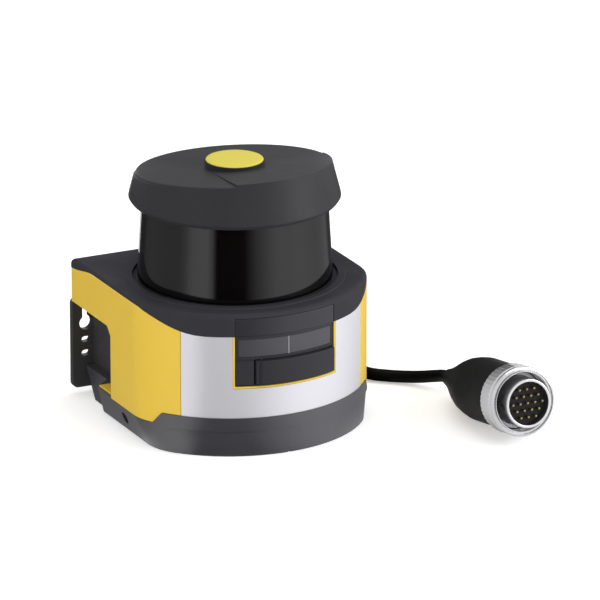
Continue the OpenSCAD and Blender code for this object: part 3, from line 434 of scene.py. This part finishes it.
# -------- plug contacts --------
# Nineteen turned contacts, gold-plated, pressed into a moulded insert of dark plastic
# with a key groove at its top.
insert_face, pin_r, pin_pitch = -4, 0.75, 4.5
insert = add_piece("contact_insert_moulded", copy_of("contact_insert"), "scanner",
                   skin("moulded_insert_plastic", "#110e0e", "#0d0b0b", 0.45, 0.8, 0.01, clouds=5, gloss=0.2),
                   ["contact_insert"], edge=0.2)
pins_mesh = bmesh.new()
for row in range(-2, 3):
    in_row = 5 - abs(row)
    for k in range(in_row):
        spot = Vector(((k - (in_row - 1) / 2) * pin_pitch, row * pin_pitch * sin(pi / 3),
                       insert_face + 1.5)) * MM
        made = bmesh.ops.create_cone(pins_mesh, cap_ends=True, segments=20, radius1=pin_r * MM,
                                     radius2=pin_r * MM, depth=3 * MM, matrix=Matrix.Translation(spot))
        tip = [e for v in made["verts"] for e in v.link_edges
               if all(w.co.z > spot.z for w in e.verts)]
        bmesh.ops.bevel(pins_mesh, geom=list(set(tip)), offset=0.45 * MM, offset_type="OFFSET", segments=3,
                        profile=0.5, material=-1, affect="EDGES")
# Gold over nickel: warm metal, its colour drawn dark as painted shade deep in the insert.
# the gold's dark colour is painted shade of the recess the contacts sit in
gold = skin("gold_plating_on_contacts", "#8f8263", "#7c7054", 0.35, 0.5, 0.002, clouds=2, metal=1.0)
pins = add_piece("contact_pins_turned", pins_mesh, "scanner", gold, ["contact_pins"],
                 place=plug_place)


# -------- boards inside --------
# Glass-epoxy circuit boards on short posts: the terminal board lies in the foot, the main
# board over the cable box, the display board behind the display and the receiver board
# over the lens.
def solder_mask(name):
    finish = bpy.data.materials.new(name)
    finish.use_nodes = True
    tree = finish.node_tree
    tree.nodes.clear()
    where = add_node(tree, "TexCoord")
    # copper tracks 1.2 mm apart show paler under the green lacquer
    tracks = add_node(tree, "TexBrick", {"Vector": where.outputs["Object"], "Scale": 1000 / 1.2 / 4,
                                         "Color1": linear("#1f6b40"), "Color2": linear("#1b5f39"),
                                         "Mortar": linear("#2f8a55"), "Mortar Size": 0.03})
    bump = add_node(tree, "Bump", {"Height": tracks.outputs["Fac"], "Strength": 0.6, "Distance": 0.03 * MM})
    body = add_node(tree, "BsdfPrincipled", {"Base Color": tracks.outputs["Color"], "Roughness": 0.35,
                                             "Normal": bump.outputs[0], "IOR": 1.5})
    add_node(tree, "OutputMaterial", {"Surface": body.outputs[0]})
    return finish


green_board = solder_mask("green_solder_mask_on_board")
for board in ("terminal_board", "main_board", "display_board", "receiver_board"):
    dress(board, green_board)

# -------- scanner housing --------
# Die-cast shell of the scanner unit in signal-yellow coating. It wraps round the front of
# the cable box, and a rim frames the display field.
yellow_coat = skin("signal_yellow_coat_on_casting", "#f0ca40", "#eac43a", 0.34, 2.0, 0.012, clouds=45)
housing_mesh = copy_of("scanner_housing")
# a thin flange of the shell lies on the shelf in each side notch, rooted in the notch's front wall
flange_w, flange_len, flange_t, root = 13.8, 16.6, 0.98, 0.8
flange_side, shelf_top, notch_front = 69.9, 17.42, 13.3
for hand in (-1, 1):
    middle = Vector((hand * (flange_side - flange_w / 2), notch_front - root + flange_len / 2,
                     shelf_top + flange_t / 2))
    bmesh.ops.create_cube(housing_mesh, size=MM, matrix=Matrix.Translation(MM * middle) @ Matrix.Diagonal(
        (flange_w, flange_len, flange_t, 1)))
add_piece("scanner_housing_cast", housing_mesh, "scanner", yellow_coat,
          ["scanner_housing"], edge=0.45)

# -------- front panel --------
# Thin curved panel in satin silver, snapped over the housing's front. It runs round the
# display field and is left plain.
satin_silver = skin("satin_silver_film_on_panel", "#e0dfe5", "#dad9e0", 0.3, 1.6, 0.004, clouds=60, metal=0.3)
add_piece("front_panel_formed", copy_of("front_panel"), "scanner", satin_silver,
          ["front_panel"], edge=0.2)

# -------- top cover --------
# Moulded ABS cover in dark grey over the housing, with a low ridge round the window. It is
# fixed from below by the carrier's screws.
cover_plastic = skin("moulded_textured_abs", "#3a3a3f", "#35353a", 0.5, 1.2, 0.02, gloss=0.03)
add_piece("top_cover_moulded", copy_of("top_cover"), "scanner", cover_plastic,
          ["top_cover"], edge=0.5, sharp=40)

# -------- display group --------
# Dark moulded frame with two display panes under smoked acrylic, a pale divider between
# them, and the smoked window of the signal lamps above, all behind the panel's cut-out.
frame_plastic = skin("moulded_display_frame", "#343438", "#2f2f33", 0.42, 1.4, 0.012, gloss=0.25)
add_piece("display_bezel_moulded", copy_of("display_bezel"), "scanner", frame_plastic,
          ["display_bezel"], edge=0.3)
smoked = skin("smoked_signal_window", "#323237", "#2e2e33", 0.25, 3.0, 0.003, gloss=0.4)
add_piece("indicator_window_moulded", copy_of("indicator_window"), "scanner", smoked,
          ["indicator_window"], edge=0.4)
pane = skin("smoked_display_acrylic", "#48484d", "#444449", 0.18, 4.0, 0.002)
for half in ("left", "right"):
    add_piece("display_pane_" + half, copy_of("display_glass_" + half), "scanner", pane,
              ["display_glass_" + half], edge=0.2)
dress("display_divider", skin("moulded_silver_divider", "#7f8086", "#797a80", 0.3, 2.0, 0.003))

# -------- service port --------
# A proud curved cover swings on a steel pin at its left and closes the service socket,
# whose tinned shell sits in the frame's pocket.
port_plastic = skin("moulded_port_cover", "#2e2e32", "#29292d", 0.42, 1.4, 0.012, gloss=0.25)
add_piece("port_cover_moulded", copy_of("port_cover"), "port_flap", port_plastic,
          ["port_cover"], edge=0.35)
dress("usb_socket", skin("tinned_steel_shell", "#c6c8cc", "#b2b4b9", 0.28, 0.6, 0.004, clouds=5, metal=1.0))

# -------- scanning unit --------
# Cast carrier with a flat motor under it; the motor's shaft carries the encoder disc and
# the tilted mirror, and the head plate over them holds the lens and the laser.
casting = skin("blasted_aluminium_casting", "#8f9196", "#85878c", 0.5, 1.0, 0.03, metal=0.9)
for node in ("optics_carrier", "motor_housing", "mirror_carrier", "head_plate"):
    dress(node, casting)
ground_steel = skin("ground_bearing_steel", "#c9cbd0", "#b9bcc2", 0.2, 0.5, 0.003, clouds=5, metal=1.0)
for node in ("lower_bearing", "upper_bearing", "motor_shaft"):
    dress(node, ground_steel)
dress("motor_rotor", skin("stacked_rotor_steel", "#4b4b50", "#404045", 0.45, 0.5, 0.02, metal=0.8,
                          stretch=(0.1, 0.1, 1)))
dress("encoder_disc", skin("etched_encoder_steel", "#9fa4aa", "#92979e", 0.3, 0.6, 0.003, metal=1.0))
dress("mirror_glass", skin("silvered_mirror_glass", "#e6ecee", "#dfe6e9", 0.04, 6.0, 0.0005, metal=1.0))
dress("receiver_lens", skin("coated_lens_glass", "#5a1f28", "#4c1820", 0.06, 6.0, 0.0005, coat=0.6))
dress("laser_module", skin("turned_brass", "#c9a85a", "#b8974c", 0.3, 0.6, 0.005, metal=1.0))

# -------- optics window --------
# Moulded polycarbonate ring that only infrared light passes, so it looks black and wet.
# It narrows a little upwards and stands in a groove of the cover, on a rubber seal.
window_lo, window_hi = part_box("optics_window")
win_r_lo = window_hi.x / MM
win_taper, win_wall, win_step = 2.6, 3, 2.5
win_foot, win_top = window_lo.z / MM, window_hi.z / MM
win_r_hi = win_r_lo - win_taper
window_outline = [(win_r_lo - win_wall, win_foot), (win_r_lo, win_foot), (win_r_hi, win_top),
                  (win_r_hi - 2 * win_wall, win_top), (win_r_hi - 2 * win_wall, win_top - win_step),
                  (win_r_hi - win_wall, win_top - win_step - win_wall), (win_r_lo - win_wall, win_foot)]
black_window = skin("polished_infrared_polycarbonate", "#0c0909", "#0a0808", 0.09, 9.0, 0.001, ior=1.58,
                    clouds=50)
add_piece("optics_window_moulded", turned(window_outline, 192), "scanner", black_window,
          ["optics_window"], edge=0.3)

# -------- cap --------
# Moulded cap in charcoal plastic with a finely eroded surface. Its top falls to the rear,
# and a crease left of the round seat parts it into two fields.
cap_plastic = skin("moulded_eroded_cap_plastic", "#333336", "#2f2f32", 0.46, 1.2, 0.015, clouds=35,
                   gloss=0.14)
add_piece("cap_moulded", copy_of("cap"), "scanner", cap_plastic, ["cap"], edge=0.35, sharp=30)

# -------- cap disc --------
# Smooth yellow disc, slightly crowned and glued into the cap's round seat.
disc_lo, disc_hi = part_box("cap_disc")
disc_r, disc_foot, disc_top = disc_hi.x / MM, disc_lo.z / MM, disc_hi.z / MM
disc_crown = 0.4
disc_outline = [(0, disc_foot), (disc_r, disc_foot), (disc_r, disc_top - 0.7),
                (disc_r - 0.25, disc_top - disc_crown)]
disc_outline += [(disc_r * cos(radians(a)), disc_top - disc_crown + disc_crown * sin(radians(a)))
                 for a in range(15, 91, 15)]
add_piece("cap_disc_moulded", turned(disc_outline, 96), "scanner",
          skin("moulded_yellow_disc", "#e0d259", "#dacc52", 0.4, 2.0, 0.006, gloss=0.12), ["cap_disc"])

# -------- end --------
bpy.context.scene.view_settings.view_transform = "Standard"
